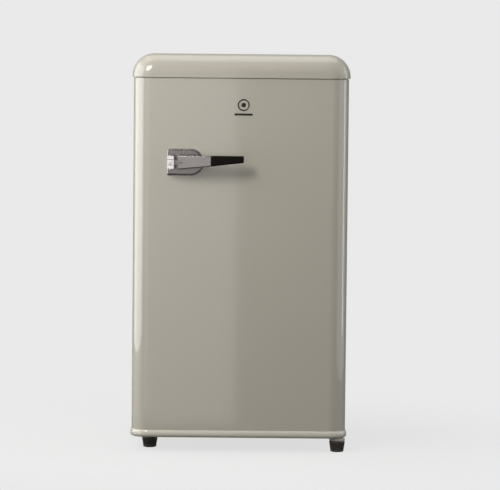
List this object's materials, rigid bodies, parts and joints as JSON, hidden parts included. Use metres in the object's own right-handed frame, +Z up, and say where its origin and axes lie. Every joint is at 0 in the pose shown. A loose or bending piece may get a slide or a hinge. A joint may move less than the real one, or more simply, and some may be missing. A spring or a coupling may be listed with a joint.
{
  "type": "mini fridge",
  "caption": "Retro single-door mini fridge with rounded enamelled door, lever handle, moulded top cover, wire condenser and fitted interior.",
  "frame": {"origin": "middle of the object's footprint box, on the floor", "axes": "+Z up, -Y out of the door, +X to the hinge side (the right, seen from the front)"},
  "size_m": [0.474, 0.5116, 0.866],
  "materials": {
    "body_enamel": "gloss",
    "body_plastic": "gloss",
    "galvanised": "satin",
    "fastener_steel": "satin",
    "chrome": "polished",
    "grip_black": "satin",
    "black_plastic": "matte",
    "black_rubber": "matte",
    "foam": "matte",
    "liner_white": "satin",
    "seal_grey": "matte",
    "bush_white": "satin",
    "clear_plastic": "gloss",
    "shelf_glass": "gloss",
    "evaporator": "satin",
    "knob": "satin",
    "lamp_frost": "satin",
    "compressor_black": "satin",
    "condenser_black": "satin",
    "copper": "satin"
  },
  "bodies": {
    "cabinet": {"back_panel": "galvanised", "base_pan": "galvanised", "cabinet_shell": "body_enamel", "compressor": "compressor_black", "compressor_bay_panel": "galvanised", "compressor_bolts": "fastener_steel", "compressor_grommets": "black_rubber", "condenser_clips": "black_plastic", "condenser_coil": "condenser_black", "condenser_wires": "condenser_black", "crisper_glass": "shelf_glass", "drain_spout": "liner_white", "drip_tray": "black_plastic", "evaporator_box": "evaporator", "evaporator_spacers": "liner_white", "filter_drier": "copper", "foot_plate_left": "galvanised", "freezer_frame": "liner_white", "hinge_pins": "fastener_steel", "hinge_screws": "fastener_steel", "inner_liner": "liner_white", "insulation_foam": "foam", "lamp": "lamp_frost", "lamp_window": "lamp_frost", "lower_hinge_bracket": "body_enamel", "mains_gland": "black_plastic", "rear_feet": "black_rubber", "rear_screws": "fastener_steel", "refrigerant_lines": "copper", "starter_relay_cover": "black_plastic", "thermostat_housing": "liner_white", "top_cover": "body_plastic", "upper_hinge_bracket": "galvanised"},
    "door": {"door_skin": "body_enamel", "door_top_cap": "body_plastic", "door_bottom_cap": "body_plastic", "door_foam": "foam", "door_liner": "liner_white", "door_gasket": "seal_grey", "hinge_bushes": "bush_white", "handle_base": "chrome", "handle_pin": "fastener_steel", "handle_spring": "fastener_steel", "handle_screws": "fastener_steel", "emblem": "chrome"},
    "handle": {"handle_lever": "chrome", "handle_grip": "grip_black"},
    "flap": {"freezer_flap": "liner_white"},
    "knob": {"thermostat_knob": "knob"},
    "crisper": {"crisper_drawer": "clear_plastic"},
    "tray": {"defrost_tray": "clear_plastic"},
    "lower_shelf": {"lower_shelf_glass": "shelf_glass", "lower_shelf_trims": "liner_white"},
    "upper_shelf": {"upper_shelf_glass": "shelf_glass", "upper_shelf_trims": "liner_white"},
    "lower_bin": {"lower_door_bin": "clear_plastic"},
    "middle_bin": {"middle_door_bin": "clear_plastic"},
    "upper_bin": {"upper_door_bin": "clear_plastic"},
    "left_foot": {"front_left_foot": "black_plastic"},
    "right_foot": {"front_right_foot": "black_plastic"}
  },
  "joints": [
    {"name": "door_hinge", "type": "hinge", "parent": "cabinet", "child": "door", "pos_m": [0.21625, -0.18328, 0.4], "axis": [0, 0, 1], "range_deg": [0, 120]},
    {"name": "handle_pivot", "type": "hinge", "parent": "door", "child": "handle", "pos_m": [-0.15095, -0.23528, 0.6315], "axis": [0, 0, -1], "range_deg": [0, 25], "stiffness_Nm_per_rad": 0.6, "springref_deg": -14.32},
    {"name": "freezer_flap_hinge", "type": "hinge", "parent": "cabinet", "child": "flap", "pos_m": [0, -0.00578, 0.6582], "axis": [1, 0, 0], "range_deg": [0, 90]},
    {"name": "thermostat_turn", "type": "hinge", "parent": "cabinet", "child": "knob", "pos_m": [0.162, 0.06872, 0.5896], "axis": [-1, 0, 0], "range_deg": [0, 300]},
    {"name": "crisper_slide", "type": "slide", "parent": "cabinet", "child": "crisper", "axis": [0, -1, 0], "range_m": [0, 0.02]},
    {"name": "defrost_tray_slide", "type": "slide", "parent": "cabinet", "child": "tray", "axis": [0, -1, 0], "range_m": [0, 0.08]},
    {"name": "lower_shelf_slide", "type": "slide", "parent": "cabinet", "child": "lower_shelf", "axis": [0, -1, 0], "range_m": [0, 0.018]},
    {"name": "upper_shelf_slide", "type": "slide", "parent": "cabinet", "child": "upper_shelf", "axis": [0, -1, 0], "range_m": [0, 0.06]},
    {"name": "lower_bin_lift", "type": "slide", "parent": "door", "child": "lower_bin", "axis": [0, 0, 1], "range_m": [0, 0.025]},
    {"name": "middle_bin_lift", "type": "slide", "parent": "door", "child": "middle_bin", "axis": [0, 0, 1], "range_m": [0, 0.025]},
    {"name": "upper_bin_lift", "type": "slide", "parent": "door", "child": "upper_bin", "axis": [0, 0, 1], "range_m": [0, 0.025]},
    {"name": "left_foot_height", "type": "slide", "parent": "cabinet", "child": "left_foot", "axis": [0, 0, 1], "range_m": [-0.01, 0]},
    {"name": "right_foot_height", "type": "slide", "parent": "cabinet", "child": "right_foot", "axis": [0, 0, 1], "range_m": [-0.01, 0]}
  ]
}
